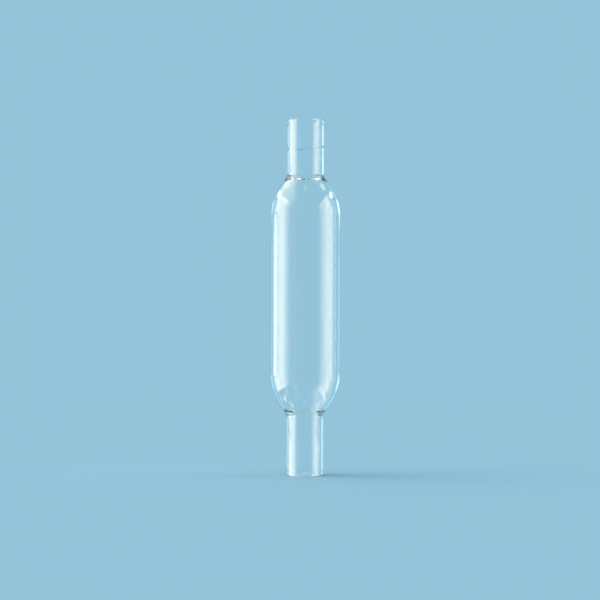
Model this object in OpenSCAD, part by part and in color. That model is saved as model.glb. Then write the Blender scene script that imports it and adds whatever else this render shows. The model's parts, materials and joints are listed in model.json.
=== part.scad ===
// Straight laboratory drying tube, blown in one piece from clear borosilicate glass.
// A wide chamber for the drying agent narrows over a rounded shoulder at each end
// and is ring-sealed there to a short open neck, which takes a hose or a stopper.
// The tube stands on the cut and fire-polished end of its lower neck.
// Millimetres, +Z up along the tube's axis, origin at the middle of the foot.

/* [Body] */
// Outside diameter of the chamber
body_od = 25; // [20:0.5:32]
// Thickness of the chamber's wall
body_wall = 1.2; // [0.9:0.1:1.6]
// Length of the chamber between its shoulders
body_straight = 56.1; // [20:0.1:120]

/* [Shoulders] */
// Radius that the lower shoulder is blown to, which is a little longer than the upper one
lower_shoulder_r = 19.3; // [14:0.1:24]
// Radius that the upper shoulder is blown to
upper_shoulder_r = 18; // [13.5:0.1:24]

/* [Necks] */
// Outside diameter of both necks
neck_od = 13.2; // [10:0.1:16]
// Thickness of the necks' wall
neck_wall = 1.1; // [0.8:0.1:1.5]
// Length of the lower neck up to its seal
lower_neck_length = 21; // [12:0.5:40]
// Length of the upper neck above its seal
upper_neck_length = 20; // [12:0.5:40]

/* [Seals] */
// Radius of the hollow outside the lower seal, where neck and shoulder meet
lower_seal_r = 2.4; // [1.2:0.1:4]
// Radius of the hollow outside the upper seal
upper_seal_r = 1.5; // [1.2:0.1:4]
// Radius of the softened glass edge inside each seal
seal_lip_r = 1.3; // [0.6:0.1:2]

/* [Ends] */
// Radius that the flame leaves on the edges of each cut end
polish_r = 0.35; // [0.2:0.05:0.38]

/* [Hidden] */
$fn = 96;
glass = [0.80, 0.90, 0.93, 0.45];

body_r = body_od / 2;
body_bore_r = body_r - body_wall;
neck_r = neck_od / 2;
neck_bore_r = neck_r - neck_wall;

// A shoulder is an arc that runs tangent into the chamber's wall. Outside, a hollow
// arc joins it to the neck. Both sides of the glass share the shoulder's centre.
function shoulder_x(shoulder_r) = body_r - shoulder_r;
function rise(reach, across) = sqrt(reach * reach - across * across);
// Height from the shoulder's centre to the centre of the hollow outside the seal
function seal_rise(shoulder_r, seal_r) =
    rise(shoulder_r + seal_r, neck_r + seal_r - shoulder_x(shoulder_r));
// Height from the shoulder's centre to the centre of the lip inside the seal
function lip_rise(shoulder_r) =
    rise(shoulder_r - body_wall + seal_lip_r, neck_bore_r + seal_lip_r - shoulder_x(shoulder_r));

lower_shoulder_z = lower_neck_length + seal_rise(lower_shoulder_r, lower_seal_r);
upper_shoulder_z = lower_shoulder_z + body_straight;
tube_length = upper_shoulder_z + seal_rise(upper_shoulder_r, upper_seal_r) + upper_neck_length;
// How far a section reaches into its neighbour, so that they join
overlap = 0.5;

// Half section of one shoulder with the hollow that leads to its neck, drawn upwards
// from the shoulder's centre. The joint is the hollow outside a seal, or the lip
// inside it. Its centre lies in line with the shoulder's, so their arcs run tangent.
module shoulder_section(side_r, throat_r, arc_r, joint_r, joint_z) {
    centre_x = side_r - arc_r;
    joint_x = throat_r + joint_r;
    intersection() {
        translate([0, -overlap]) square([side_r, joint_z + overlap]);
        union() {
            translate([centre_x, 0]) circle(arc_r);
            difference() {
                polygon([[centre_x, 0], [joint_x, joint_z], [0, joint_z]]);
                translate([joint_x, joint_z]) circle(joint_r);
            }
        }
    }
}

// Half section of the chamber with both shoulders, outside or inside the glass
module chamber_section(side_r, throat_r, wall, lower_joint, upper_joint) {
    translate([0, lower_shoulder_z]) {
        square([side_r, body_straight]);
        mirror([0, 1])
            shoulder_section(side_r, throat_r, lower_shoulder_r - wall, lower_joint[0], lower_joint[1]);
    }
    translate([0, upper_shoulder_z])
        shoulder_section(side_r, throat_r, upper_shoulder_r - wall, upper_joint[0], upper_joint[1]);
}

// Half section of one straight neck. The flame rounds both edges of its cut end and
// leaves a flat ring between them. It reaches into the chamber's own section.
module neck_section(length) {
    translate([neck_bore_r, polish_r]) square([neck_wall, length - polish_r]);
    translate([neck_bore_r + polish_r, 0]) square([neck_wall - 2 * polish_r, length]);
    for (edge_x = [neck_bore_r + polish_r, neck_r - polish_r])
        translate([edge_x, polish_r]) circle(polish_r);
}

// Half section of the glass
module glass_section() {
    difference() {
        union() {
            chamber_section(body_r, neck_r, 0,
                [lower_seal_r, seal_rise(lower_shoulder_r, lower_seal_r)],
                [upper_seal_r, seal_rise(upper_shoulder_r, upper_seal_r)]);
            neck_section(lower_shoulder_z);
            translate([0, tube_length]) mirror([0, 1]) neck_section(tube_length - upper_shoulder_z);
        }
        chamber_section(body_bore_r, neck_bore_r, body_wall,
            [seal_lip_r, lip_rise(lower_shoulder_r)],
            [seal_lip_r, lip_rise(upper_shoulder_r)]);
        translate([-1, -1]) square([neck_bore_r + 1, tube_length + 2]);
    }
}

module drying_tube() {
    color(glass) rotate_extrude() glass_section();
}

drying_tube();
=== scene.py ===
import json
import math

import bmesh
import bpy
from mathutils import Matrix, Vector, noise


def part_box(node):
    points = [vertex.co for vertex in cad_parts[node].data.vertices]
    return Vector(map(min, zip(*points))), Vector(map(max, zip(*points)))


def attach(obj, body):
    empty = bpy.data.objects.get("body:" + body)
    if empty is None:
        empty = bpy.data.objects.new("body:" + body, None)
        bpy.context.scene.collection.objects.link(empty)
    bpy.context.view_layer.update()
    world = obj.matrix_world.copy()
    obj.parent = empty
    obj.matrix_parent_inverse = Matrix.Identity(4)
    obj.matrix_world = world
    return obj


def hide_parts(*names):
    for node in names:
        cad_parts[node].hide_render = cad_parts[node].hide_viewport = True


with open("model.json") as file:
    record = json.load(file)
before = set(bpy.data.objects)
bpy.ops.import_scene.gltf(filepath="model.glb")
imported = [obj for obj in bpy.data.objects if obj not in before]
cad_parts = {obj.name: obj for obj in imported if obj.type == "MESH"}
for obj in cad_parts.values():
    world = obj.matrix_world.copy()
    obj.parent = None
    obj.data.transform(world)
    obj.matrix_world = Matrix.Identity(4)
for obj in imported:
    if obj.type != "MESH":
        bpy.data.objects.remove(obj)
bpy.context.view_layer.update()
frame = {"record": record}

# Camera: level with the lower half of the tube, as on a low copy stand, looking along +Y
# through a long lens. The tube stands a little to the right of the middle of the view.
MM = 0.001
tube_low, tube_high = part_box("drying_tube")
tube_length = tube_high.z - tube_low.z
camera_distance = 6.0 * tube_length
camera_height = 0.40 * tube_length
view_width = 1.689 * tube_length
aim_height = 0.4919 * tube_length
AIM_TO_LEFT = 1.8 * MM
CAMERA_ROLL = math.radians(0.19)
aim = Vector((-AIM_TO_LEFT, 0.0, aim_height))

camera_data = bpy.data.cameras.new("camera")
camera_data.sensor_width = 36.0
camera_data.lens = camera_data.sensor_width * camera_distance / view_width
camera = bpy.data.objects.new("camera", camera_data)
camera.location = (aim.x, -camera_distance, camera_height)
camera.rotation_euler = (aim - camera.location).to_track_quat("-Z", "Y").to_euler()
camera.rotation_euler.rotate_axis("Z", CAMERA_ROLL)
bpy.context.scene.collection.objects.link(camera)
bpy.context.scene.camera = camera
bpy.context.scene.view_settings.view_transform = "Standard"


# The tube: one wall of clear borosilicate glass, blown in a lathe. The chamber is drawn
# in over a shoulder at each end and ring-sealed to a neck; both cut ends are fire-polished.
mounts = {mount["name"]: mount for mount in frame["record"]["mounts"]}
body_r = tube_high.x
body_wall = 1.2 * MM
neck_r = mounts["lower_neck_outside"]["dims"]["r_mm"] * MM
bore_r = mounts["lower_neck_bore"]["dims"]["r_mm"] * MM
lower_neck_length = 21 * MM
upper_neck_length = 20 * MM
lower_shoulder_r = 19.3 * MM
upper_shoulder_r = 18 * MM
lower_seal_r = 2.4 * MM
upper_seal_r = 1.5 * MM
seal_lip_r = 1.3 * MM
polish_r = 0.35 * MM
ROUND_STEPS = 176
CHAMBER_STEPS = 50
SHOULDER_STEPS = 40
SEAL_STEPS = 14
POLISH_STEPS = 5
NECK_END_RUN = 2 * MM
NECK_END_STEPS = 8
NECK_MIDDLE_STEPS = 14
MERGE_DISTANCE = 0.001 * MM


def joint_rise(shoulder_r, joint_r, throat_r, side_r):
    """Height between a shoulder's centre and the centre of the arc that joins it to a neck."""
    reach = shoulder_r + joint_r
    across = throat_r + joint_r - (side_r - shoulder_r)
    return math.sqrt(reach * reach - across * across)


def line_to(outline, tip, x, z, steps):
    """Draws the outline on from its tip, straight to a point."""
    step = (Vector((x, 0, z)) - tip.co) / steps
    for _ in range(steps):
        tip = bmesh.ops.extrude_vert_indiv(outline, verts=[tip])["verts"][0]
        tip.co += step
    return tip


def neck_to(outline, tip, x, z):
    """Draws a neck's straight wall, in shorter steps beside its cut end and its seal."""
    run = math.copysign(NECK_END_RUN, z - tip.co.z)
    tip = line_to(outline, tip, x, tip.co.z + run, NECK_END_STEPS)
    tip = line_to(outline, tip, x, z - run, NECK_MIDDLE_STEPS)
    return line_to(outline, tip, x, z, NECK_END_STEPS)


def arc_about(outline, tip, x, z, turn, steps):
    """Draws the outline on from its tip, round a centre. A positive turn is anticlockwise."""
    made = bmesh.ops.spin(outline, geom=[tip], cent=(x, 0, z), axis=(0, -1, 0),
                          angle=turn, steps=steps, use_duplicate=False)
    return [item for item in made["geom_last"] if isinstance(item, bmesh.types.BMVert)][0]


def shoulder_and_seal(outline, tip, shoulder_z, up, side_r, throat_r, shoulder_r, joint_r, outward):
    """Draws a shoulder between the chamber's wall and its seal, outward from the chamber or back.

    up is 1 at the upper end of the tube and -1 at the lower end.
    """
    centre_x = side_r - shoulder_r
    rise = joint_rise(shoulder_r, joint_r, throat_r, side_r)
    tilt = math.atan2(rise, throat_r + joint_r - centre_x)
    turn = tilt * up if outward else -tilt * up
    joint = (throat_r + joint_r, shoulder_z + rise * up)
    if outward:
        tip = arc_about(outline, tip, centre_x, shoulder_z, turn, SHOULDER_STEPS)
        return arc_about(outline, tip, *joint, -turn, SEAL_STEPS)
    tip = arc_about(outline, tip, *joint, -turn, SEAL_STEPS)
    return arc_about(outline, tip, centre_x, shoulder_z, turn, SHOULDER_STEPS)


lower_shoulder_z = lower_neck_length + joint_rise(lower_shoulder_r, lower_seal_r, neck_r, body_r)
upper_shoulder_z = (tube_length - upper_neck_length
                    - joint_rise(upper_shoulder_r, upper_seal_r, neck_r, body_r))
hollow_r = body_r - body_wall
lower_lip_z = lower_shoulder_z - joint_rise(lower_shoulder_r - body_wall, seal_lip_r, bore_r, hollow_r)
upper_lip_z = upper_shoulder_z + joint_rise(upper_shoulder_r - body_wall, seal_lip_r, bore_r, hollow_r)
quarter = math.pi / 2

tube_mesh = bmesh.new()
tip = tube_mesh.verts.new((neck_r - polish_r, 0, 0))
tip = arc_about(tube_mesh, tip, neck_r - polish_r, polish_r, quarter, POLISH_STEPS)
tip = neck_to(tube_mesh, tip, neck_r, lower_neck_length)
tip = shoulder_and_seal(tube_mesh, tip, lower_shoulder_z, -1, body_r, neck_r,
                        lower_shoulder_r, lower_seal_r, False)
tip = line_to(tube_mesh, tip, body_r, upper_shoulder_z, CHAMBER_STEPS)
tip = shoulder_and_seal(tube_mesh, tip, upper_shoulder_z, 1, body_r, neck_r,
                        upper_shoulder_r, upper_seal_r, True)
tip = neck_to(tube_mesh, tip, neck_r, tube_length - polish_r)
tip = arc_about(tube_mesh, tip, neck_r - polish_r, tube_length - polish_r, quarter, POLISH_STEPS)
tip = line_to(tube_mesh, tip, bore_r + polish_r, tube_length, 1)
tip = arc_about(tube_mesh, tip, bore_r + polish_r, tube_length - polish_r, quarter, POLISH_STEPS)
tip = neck_to(tube_mesh, tip, bore_r, upper_lip_z)
tip = shoulder_and_seal(tube_mesh, tip, upper_shoulder_z, 1, hollow_r, bore_r,
                        upper_shoulder_r - body_wall, seal_lip_r, False)
tip = line_to(tube_mesh, tip, hollow_r, lower_shoulder_z, CHAMBER_STEPS)
tip = shoulder_and_seal(tube_mesh, tip, lower_shoulder_z, -1, hollow_r, bore_r,
                        lower_shoulder_r - body_wall, seal_lip_r, True)
tip = neck_to(tube_mesh, tip, bore_r, polish_r)
tip = arc_about(tube_mesh, tip, bore_r + polish_r, polish_r, quarter, POLISH_STEPS)
tip = line_to(tube_mesh, tip, neck_r - polish_r, 0, 1)
bmesh.ops.remove_doubles(tube_mesh, verts=tube_mesh.verts, dist=MERGE_DISTANCE)
bmesh.ops.spin(tube_mesh, geom=tube_mesh.verts[:] + tube_mesh.edges[:], cent=(0, 0, 0),
               axis=(0, 0, 1), angle=math.tau, steps=ROUND_STEPS, use_merge=True)
bmesh.ops.remove_doubles(tube_mesh, verts=tube_mesh.verts, dist=MERGE_DISTANCE)

# A hairline runs round the upper neck, where the glass was held while it was hot. It lies
# a little out of level, and needs a few close rings of points to be pressed in.
hairline_z = 115.8 * MM
HAIRLINE_TILT = 0.05
HAIRLINE_DEPTH = 0.12 * MM
HAIRLINE_HEIGHT = 0.08 * MM
HAIRLINE_RINGS = (-0.18 * MM, -0.09 * MM, -0.045 * MM, 0, 0.045 * MM, 0.09 * MM, 0.18 * MM)
for ring in HAIRLINE_RINGS:
    bmesh.ops.bisect_plane(tube_mesh, geom=tube_mesh.verts[:] + tube_mesh.edges[:] + tube_mesh.faces[:],
                           dist=MERGE_DISTANCE, plane_co=(0, 0, hairline_z + ring),
                           plane_no=(-HAIRLINE_TILT, 0, 1))
bmesh.ops.recalc_face_normals(tube_mesh, faces=tube_mesh.faces)

# The flame leaves the wall thicker and uneven round each seal, less so round the lower one,
# and a little thicker inside each cut end. The upper seal sags and is thickest at the front.
# The drawn and blown walls wander by a few thousandths of a millimetre. How fine the wander,
# the lumps and the ripple are is given per metre.
WANDER = 0.004 * MM
WANDER_ACROSS = 70
WANDER_ALONG = 25
SEAL_THICKENING = 0.35 * MM
SEAL_EVENNESS = 0.6
SEAL_UNEVENNESS = 0.9
SEAL_LUMPS = 300
SEAL_HEIGHT = 0.6 * MM
SEAL_RIPPLE = 0.11 * MM
RIPPLE_FINENESS = 1000
LOWER_SEAL_SHARE = 0.57
SEAL_SAG = 0.7 * MM
SAG_TURN = 0.5
SAG_THICKENING = 0.3
END_THICKENING = 0.08 * MM
END_HEIGHT = 0.8 * MM
wall_middle = (neck_r + bore_r) / 2
tube_mesh.normal_update()
moves = {}
for vert in tube_mesh.verts:
    place = vert.co
    wander = Vector((place.x * WANDER_ACROSS, place.y * WANDER_ACROSS, place.z * WANDER_ALONG))
    swell = WANDER * (noise.noise(wander) - 1)
    sag = math.exp(-(math.atan2(place.x, -place.y) / SAG_TURN) ** 2)
    for seal_z, share, drop in ((lower_lip_z, LOWER_SEAL_SHARE, 0), (upper_lip_z, 1, sag)):
        off_seal = place.z - seal_z + SEAL_SAG * drop
        nearness = share * (1 + SAG_THICKENING * drop) * math.exp(-(off_seal / SEAL_HEIGHT) ** 2)
        lumps = noise.noise(place * SEAL_LUMPS + Vector((0, 0, 40 * seal_z)))
        broad = SEAL_EVENNESS + SEAL_UNEVENNESS * lumps
        fine = noise.noise(place * RIPPLE_FINENESS + Vector((5, 1, 2)))
        swell += nearness * (SEAL_THICKENING * broad + SEAL_RIPPLE * fine)
    if place.xy.length < wall_middle:
        for end_z in (END_HEIGHT, tube_length - END_HEIGHT):
            swell += END_THICKENING * math.exp(-((place.z - end_z) / END_HEIGHT) ** 2)
    else:
        below = place.z - hairline_z - HAIRLINE_TILT * place.x
        swell -= HAIRLINE_DEPTH * math.exp(-(below / HAIRLINE_HEIGHT) ** 2)
    move = swell * vert.normal
    if place.z < polish_r or place.z > tube_length - polish_r:
        move.z = 0
    moves[vert] = move
for vert, move in moves.items():
    vert.co += move

# Three seeds: tiny air bubbles in the middle of the wall, drawn out along the tube. Their
# faces point into the air that they hold. Each has its turn from the front in degrees, and its
# distance from the axis, height and radius in millimetres.
SEEDS = ((-33, 11.9, 44.7, 0.16), (-71, 6.05, 11.7, 0.13), (150, 11.9, 70.0, 0.12))
SEED_STRETCH = 1.8
for turn, seed_out, seed_z, seed_r in SEEDS:
    turn = math.radians(turn)
    seed_place = Matrix.Translation((math.sin(turn) * seed_out * MM, -math.cos(turn) * seed_out * MM,
                                     seed_z * MM))
    seed = bmesh.ops.create_icosphere(tube_mesh, subdivisions=2, radius=seed_r * MM,
                                      matrix=seed_place @ Matrix.Diagonal((1, 1, SEED_STRETCH, 1)))
    seed_faces = list({face for vert in seed["verts"] for face in vert.link_faces})
    bmesh.ops.reverse_faces(tube_mesh, faces=seed_faces)
for face in tube_mesh.faces:
    face.smooth = True

tube_data = bpy.data.meshes.new("blown_tube")
tube_mesh.to_mesh(tube_data)
tube_mesh.free()
tube = bpy.data.objects.new("blown_tube", tube_data)
bpy.context.scene.collection.objects.link(tube)

# The glass is clear, with faint waves along the tube from drawing, a trace of haze from
# handling and a slight yellow bloom where the flame has worked each seal.
WAVE_DEPTH = 0.003 * MM
WAVE_STRETCH = 25
HAZE_ROUGHNESS = 0.04
CLEAR = (0.985, 0.995, 0.995, 1)
BLOOM = (0.985, 0.98, 0.91, 1)
BLOOM_HEIGHT = 1.6 * MM
glass = bpy.data.materials.new("borosilicate glass")
glass.use_nodes = True
nodes, links = glass.node_tree.nodes, glass.node_tree.links
glass_shader = nodes["Principled BSDF"]
glass_shader.inputs["IOR"].default_value = 1.474
glass_shader.inputs["Transmission Weight"].default_value = 1.0
place = nodes.new("ShaderNodeTexCoord")

drawn_out = nodes.new("ShaderNodeMapping")
drawn_out.inputs["Scale"].default_value = (1, 1, 1 / WAVE_STRETCH)
links.new(place.outputs["Object"], drawn_out.inputs["Vector"])
draw_lines = nodes.new("ShaderNodeTexNoise")
draw_lines.inputs["Scale"].default_value = 700
draw_lines.inputs["Detail"].default_value = 2
links.new(drawn_out.outputs["Vector"], draw_lines.inputs["Vector"])
waves = nodes.new("ShaderNodeBump")
waves.inputs["Strength"].default_value = 0.5
waves.inputs["Distance"].default_value = WAVE_DEPTH
links.new(draw_lines.outputs["Fac"], waves.inputs["Height"])
links.new(waves.outputs["Normal"], glass_shader.inputs["Normal"])

handling = nodes.new("ShaderNodeTexNoise")
handling.inputs["Scale"].default_value = 130
handling.inputs["Detail"].default_value = 5
links.new(place.outputs["Object"], handling.inputs["Vector"])
haze = nodes.new("ShaderNodeMapRange")
haze.inputs["From Min"].default_value = 0.5
haze.inputs["From Max"].default_value = 0.8
haze.inputs["To Min"].default_value = 0.0
haze.inputs["To Max"].default_value = HAZE_ROUGHNESS
links.new(handling.outputs["Fac"], haze.inputs["Value"])
links.new(haze.outputs["Result"], glass_shader.inputs["Roughness"])

height = nodes.new("ShaderNodeSeparateXYZ")
links.new(place.outputs["Object"], height.inputs["Vector"])
bloom_spots = nodes.new("ShaderNodeTexNoise")
bloom_spots.inputs["Scale"].default_value = 420
bloom_spots.inputs["Detail"].default_value = 3
links.new(place.outputs["Object"], bloom_spots.inputs["Vector"])
bloom_tint = None
for seal_z in (lower_lip_z, upper_lip_z):
    from_seal = nodes.new("ShaderNodeMath")
    from_seal.operation = "SUBTRACT"
    from_seal.inputs[1].default_value = seal_z
    links.new(height.outputs["Z"], from_seal.inputs[0])
    away = nodes.new("ShaderNodeMath")
    away.operation = "ABSOLUTE"
    links.new(from_seal.outputs[0], away.inputs[0])
    near_seal = nodes.new("ShaderNodeMapRange")
    near_seal.interpolation_type = "SMOOTHSTEP"
    near_seal.inputs["From Max"].default_value = BLOOM_HEIGHT
    near_seal.inputs["To Min"].default_value = 1
    near_seal.inputs["To Max"].default_value = 0
    links.new(away.outputs[0], near_seal.inputs["Value"])
    spotted = nodes.new("ShaderNodeMath")
    spotted.operation = "MULTIPLY"
    links.new(near_seal.outputs["Result"], spotted.inputs[0])
    links.new(bloom_spots.outputs["Fac"], spotted.inputs[1])
    tint = nodes.new("ShaderNodeMix")
    tint.data_type = "RGBA"
    tint.inputs["A"].default_value = CLEAR
    tint.inputs["B"].default_value = BLOOM
    links.new(spotted.outputs[0], tint.inputs["Factor"])
    if bloom_tint:
        links.new(bloom_tint.outputs["Result"], tint.inputs["A"])
    bloom_tint = tint

# Painted shade: the glass is tinted grey along the hairline to darken the line that the groove makes,
# and the grey fades out beside it.
HAIRLINE_PAINTED_SHADE = (0.82, 0.84, 0.84, 1)
PAINTED_SHADE_FULL = 0.04 * MM
PAINTED_SHADE_END = 0.14 * MM
along = nodes.new("ShaderNodeVectorMath")
along.operation = "DOT_PRODUCT"
along.inputs[1].default_value = (-HAIRLINE_TILT, 0, 1)
links.new(place.outputs["Object"], along.inputs[0])
from_hairline = nodes.new("ShaderNodeMath")
from_hairline.operation = "SUBTRACT"
from_hairline.inputs[1].default_value = hairline_z
links.new(along.outputs["Value"], from_hairline.inputs[0])
off_line = nodes.new("ShaderNodeMath")
off_line.operation = "ABSOLUTE"
links.new(from_hairline.outputs[0], off_line.inputs[0])
on_line = nodes.new("ShaderNodeMapRange")
on_line.interpolation_type = "SMOOTHSTEP"
on_line.inputs["From Min"].default_value = PAINTED_SHADE_FULL
on_line.inputs["From Max"].default_value = PAINTED_SHADE_END
on_line.inputs["To Min"].default_value = 1
on_line.inputs["To Max"].default_value = 0
links.new(off_line.outputs[0], on_line.inputs["Value"])
# The painted shade of the hairline is mixed over the bloom tint here.
hairline_painted_shade = nodes.new("ShaderNodeMix")
hairline_painted_shade.data_type = "RGBA"
hairline_painted_shade.inputs["B"].default_value = HAIRLINE_PAINTED_SHADE
links.new(on_line.outputs["Result"], hairline_painted_shade.inputs["Factor"])
links.new(bloom_tint.outputs["Result"], hairline_painted_shade.inputs["A"])
links.new(hairline_painted_shade.outputs["Result"], glass_shader.inputs["Base Color"])
tube_data.materials.append(glass)
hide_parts("drying_tube")
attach(tube, "root")


# Stage: a plain pale satin floor. Beyond the tube's shadow it glows evenly in its own
# colour and runs out to a world of that colour, so that no edge or horizon shows. It is
# clear to mirrored rays, so that the glass reflects the surround there and not its edge.
PALE = (0.30, 0.55, 0.70)
FLOOR_R = 4.0
SHADOW_R = 15 * MM
GLOW_R = 140 * MM
SHEEN = 0.05
SHEEN_ROUGHNESS = 0.2

floor_mesh = bmesh.new()
bmesh.ops.create_circle(floor_mesh, cap_ends=True, radius=FLOOR_R, segments=96)
floor_data = bpy.data.meshes.new("floor")
floor_mesh.to_mesh(floor_data)
floor_mesh.free()
floor = bpy.data.objects.new("floor", floor_data)
bpy.context.scene.collection.objects.link(floor)

paint = bpy.data.materials.new("floor paint")
paint.use_nodes = True
nodes, links = paint.node_tree.nodes, paint.node_tree.links
nodes.clear()
out = nodes.new("ShaderNodeOutputMaterial")
place = nodes.new("ShaderNodeTexCoord")
distance = nodes.new("ShaderNodeVectorMath")
distance.operation = "LENGTH"
links.new(place.outputs["Object"], distance.inputs[0])
fade = nodes.new("ShaderNodeMapRange")
fade.interpolation_type = "SMOOTHSTEP"
fade.inputs["From Min"].default_value = SHADOW_R
fade.inputs["From Max"].default_value = GLOW_R
links.new(distance.outputs["Value"], fade.inputs["Value"])
matt = nodes.new("ShaderNodeBsdfDiffuse")
matt.inputs["Color"].default_value = (*PALE, 1)
sheen = nodes.new("ShaderNodeBsdfGlossy")
sheen.inputs["Color"].default_value = (1, 1, 1, 1)
sheen.inputs["Roughness"].default_value = SHEEN_ROUGHNESS
near = nodes.new("ShaderNodeMixShader")
near.inputs["Fac"].default_value = SHEEN
links.new(matt.outputs[0], near.inputs[1])
links.new(sheen.outputs[0], near.inputs[2])
glow = nodes.new("ShaderNodeEmission")
glow.inputs["Color"].default_value = (*PALE, 1)
whole = nodes.new("ShaderNodeMixShader")
links.new(fade.outputs["Result"], whole.inputs["Fac"])
links.new(near.outputs[0], whole.inputs[1])
links.new(glow.outputs[0], whole.inputs[2])
path = nodes.new("ShaderNodeLightPath")
mirrored = nodes.new("ShaderNodeMath")
mirrored.operation = "GREATER_THAN"
mirrored.inputs[1].default_value = 0.5
links.new(path.outputs["Glossy Depth"], mirrored.inputs[0])
gone = nodes.new("ShaderNodeBsdfTransparent")
both = nodes.new("ShaderNodeMixShader")
links.new(mirrored.outputs[0], both.inputs["Fac"])
links.new(whole.outputs[0], both.inputs[1])
links.new(gone.outputs[0], both.inputs[2])
links.new(both.outputs[0], out.inputs["Surface"])
floor_data.materials.append(paint)

# The world shows in the floor's colour, but it lights matt surfaces with a fill that is a
# little cool, to balance the warm lamps.
FILL = 0.55
FILL_COOL = (0.86, 1.02, 1.24, 1)
world = bpy.data.worlds.new("world")
world.use_nodes = True
bpy.context.scene.world = world
nodes, links = world.node_tree.nodes, world.node_tree.links
background = nodes["Background"]
background.inputs["Color"].default_value = (*PALE, 1)
background.inputs["Strength"].default_value = 1.0
fill = nodes.new("ShaderNodeBackground")
fill.inputs["Color"].default_value = FILL_COOL
fill.inputs["Strength"].default_value = FILL
path = nodes.new("ShaderNodeLightPath")
seen = nodes.new("ShaderNodeMath")
seen.operation = "LESS_THAN"
seen.inputs[1].default_value = 0.5
links.new(path.outputs["Diffuse Depth"], seen.inputs[0])
mix = nodes.new("ShaderNodeMixShader")
links.new(seen.outputs[0], mix.inputs["Fac"])
links.new(fill.outputs[0], mix.inputs[1])
links.new(background.outputs[0], mix.inputs[2])
links.new(mix.outputs[0], nodes["World Output"].inputs["Surface"])


# Lights: soft warm panels to the left, right and back, and high up. They light the floor
# and show in the glass as reflections. They only add their light, and are clear to what
# looks straight through them, so the pale surroundings stay plain from every side. Matt
# surfaces get only a share of their light, which keeps the tube's shadow soft and faint.
SHADOW_SHARE = 0.45
WARM_WHITE = (1.0, 0.87, 0.65, 1)
COOL_WHITE = (0.95, 1.0, 1.0, 1)
LIGHT_BLUE = (0.25, 0.80, 1.0, 1)


def soft_light(name, corner, width, height, fade, brightness, colour=WARM_WHITE, high=False):
    """A flat panel, from one corner along its two edges.

    fade is the part of the width over which its first and last sides dim, and then the same
    for the height. A high panel also shows to rays that go straight through the glass.
    """
    panel_mesh = bmesh.new()
    bmesh.ops.create_grid(panel_mesh, x_segments=1, y_segments=1, size=0.5, calc_uvs=True)
    uv = panel_mesh.loops.layers.uv.verify()
    for face in panel_mesh.faces:
        for loop in face.loops:
            loop[uv].uv = (loop.vert.co.x + 0.5, loop.vert.co.y + 0.5)
    for vert in panel_mesh.verts:
        vert.co = Vector(corner) + Vector(width) * (vert.co.x + 0.5) + Vector(height) * (vert.co.y + 0.5)
    data = bpy.data.meshes.new(name)
    panel_mesh.to_mesh(data)
    panel_mesh.free()
    panel = bpy.data.objects.new(name, data)
    bpy.context.scene.collection.objects.link(panel)
    lamp = bpy.data.materials.new(name)
    lamp.use_nodes = True
    nodes, links = lamp.node_tree.nodes, lamp.node_tree.links
    nodes.clear()
    out = nodes.new("ShaderNodeOutputMaterial")
    path = nodes.new("ShaderNodeLightPath")
    bounced = nodes.new("ShaderNodeMath")
    bounced.operation = "ADD"
    links.new(path.outputs["Glossy Depth"], bounced.inputs[0])
    links.new(path.outputs["Diffuse Depth"], bounced.inputs[1])
    straight = nodes.new("ShaderNodeMath")
    straight.operation = "LESS_THAN"
    straight.inputs[1].default_value = 0.5
    links.new(bounced.outputs[0], straight.inputs[0])
    looking = nodes.new("ShaderNodeMath")
    looking.operation = "MAXIMUM"
    looking.inputs[1].default_value = 0
    links.new(path.outputs["Is Camera Ray"], looking.inputs[0])
    if not high:
        links.new(path.outputs["Is Transmission Ray"], looking.inputs[1])
    unseen = nodes.new("ShaderNodeMath")
    unseen.operation = "MULTIPLY"
    links.new(looking.outputs[0], unseen.inputs[0])
    links.new(straight.outputs[0], unseen.inputs[1])
    shown = nodes.new("ShaderNodeMath")
    shown.operation = "SUBTRACT"
    shown.inputs[0].default_value = 1
    links.new(unseen.outputs[0], shown.inputs[1])
    soft_shadow = nodes.new("ShaderNodeMapRange")
    soft_shadow.inputs["To Min"].default_value = 1
    soft_shadow.inputs["To Max"].default_value = SHADOW_SHARE
    links.new(path.outputs["Diffuse Depth"], soft_shadow.inputs["Value"])
    lit = nodes.new("ShaderNodeMath")
    lit.operation = "MULTIPLY"
    links.new(shown.outputs[0], lit.inputs[0])
    links.new(soft_shadow.outputs["Result"], lit.inputs[1])
    level = lit.outputs[0]
    place = nodes.new("ShaderNodeTexCoord")
    split = nodes.new("ShaderNodeSeparateXYZ")
    links.new(place.outputs["UV"], split.inputs[0])
    for axis, edge, inside in (("X", 0, fade[0]), ("X", 1, 1 - fade[1]),
                               ("Y", 0, fade[2]), ("Y", 1, 1 - fade[3])):
        ramp = nodes.new("ShaderNodeMapRange")
        ramp.interpolation_type = "SMOOTHSTEP"
        ramp.inputs["From Min"].default_value = min(edge, inside)
        ramp.inputs["From Max"].default_value = max(edge, inside)
        ramp.inputs["To Min"].default_value = 0 if edge < inside else 1
        ramp.inputs["To Max"].default_value = 1 if edge < inside else 0
        links.new(split.outputs[axis], ramp.inputs["Value"])
        dimmed = nodes.new("ShaderNodeMath")
        dimmed.operation = "MULTIPLY"
        links.new(level, dimmed.inputs[0])
        links.new(ramp.outputs["Result"], dimmed.inputs[1])
        level = dimmed.outputs[0]
    strength = nodes.new("ShaderNodeMath")
    strength.operation = "MULTIPLY"
    strength.inputs[1].default_value = brightness
    links.new(level, strength.inputs[0])
    glow = nodes.new("ShaderNodeEmission")
    glow.inputs["Color"].default_value = colour
    links.new(strength.outputs[0], glow.inputs["Strength"])
    gone = nodes.new("ShaderNodeBsdfTransparent")
    both = nodes.new("ShaderNodeAddShader")
    links.new(glow.outputs[0], both.inputs[0])
    links.new(gone.outputs[0], both.inputs[1])
    links.new(both.outputs[0], out.inputs["Surface"])
    data.materials.append(lamp)


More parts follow.
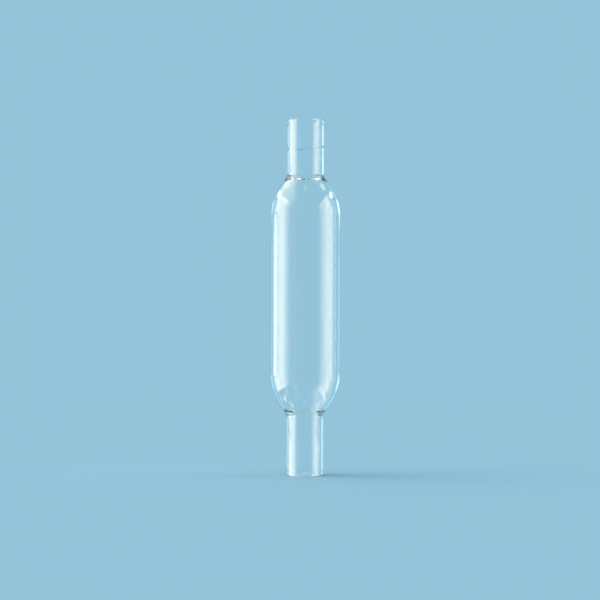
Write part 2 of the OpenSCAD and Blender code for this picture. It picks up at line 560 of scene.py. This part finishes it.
soft_light("left softbox", (-0.60, -0.56, -0.24), (0, 1.10, 0), (0, 0, 0.70),
           fade=(0.48, 0.40, 0.04, 0.06), brightness=4.2)
soft_light("left wing", (-0.60, 0.12, -0.02), (0, 0.42, 0), (0, 0, 0.18),
           fade=(0.5, 0.4, 0.2, 0.3), brightness=2.7)
soft_light("high left softbox", (-2.38, -1.45, 0.90), (1.00, 2.92, 0), (1.68, 0, 0),
           fade=(0.36, 0.30, 0.22, 0.22), brightness=2.1, high=True)
soft_light("right softbox", (0.60, -0.20, -0.28), (0, 0.40, 0), (0, 0, 0.88),
           fade=(0.4, 0.4, 0.02, 0.3), brightness=1.15)

# Two strips at the back draw the lines along the tube's edges. Each has a dim blue part over
# its whole height, and two bright parts at the heights where only the necks reflect them.
for part, strip_z, strip_height, strip_fade, left_brightness, right_brightness, strip_colour in (
        ("whole", -0.50, 1.10, (0.02, 0.2), 0.3, 0.55, LIGHT_BLUE),
        ("upper", 0.13, 0.21, (0.3, 0.3), 0.5, 1.5, COOL_WHITE),
        ("lower", -0.16, 0.18, (0.2, 0.3), 0.5, 1.7, COOL_WHITE)):
    soft_light("left back strip, " + part, (-0.50, 0.70, strip_z), (0, 0.60, 0), (0, 0, strip_height),
               fade=(0.25, 0.5, *strip_fade), brightness=left_brightness, colour=strip_colour)
    soft_light("right back strip, " + part, (0.46, 0.80, strip_z), (0, 0.75, 0), (0, 0, strip_height),
               fade=(0.2, 0.4, *strip_fade), brightness=right_brightness, colour=strip_colour)

# Two small bright lamps put a white mark on each side of the upper shoulder.
soft_light("right kicker", (0.71, 0.28, 0.41), (-0.148, 0.237, 0), (0, 0, 0.10),
           fade=(0.1, 0.1, 0.1, 0.1), brightness=6.0)
soft_light("left kicker", (-0.65, 0.39, 0.375), (0.154, 0.184, 0), (0, 0, 0.10),
           fade=(0.1, 0.1, 0.1, 0.1), brightness=5.0)

# Three high panels put the glints on the seals and on the rims of the cut ends.
soft_light("high back left softbox", (-0.90, 0.12, 0.90), (0.30, 0, 0), (0, 0.30, 0),
           fade=(0.2, 0.2, 0.2, 0.2), brightness=2.8, high=True)
soft_light("high back right softbox", (0.55, 0.07, 0.90), (0.40, 0, 0), (0, 0.40, 0),
           fade=(0.2, 0.2, 0.2, 0.2), brightness=2.4, high=True)
soft_light("high front softbox", (-0.12, -0.55, 0.90), (0.24, 0, 0), (0, 0.35, 0),
           fade=(0.3, 0.3, 0.3, 0.3), brightness=0.9, high=True)
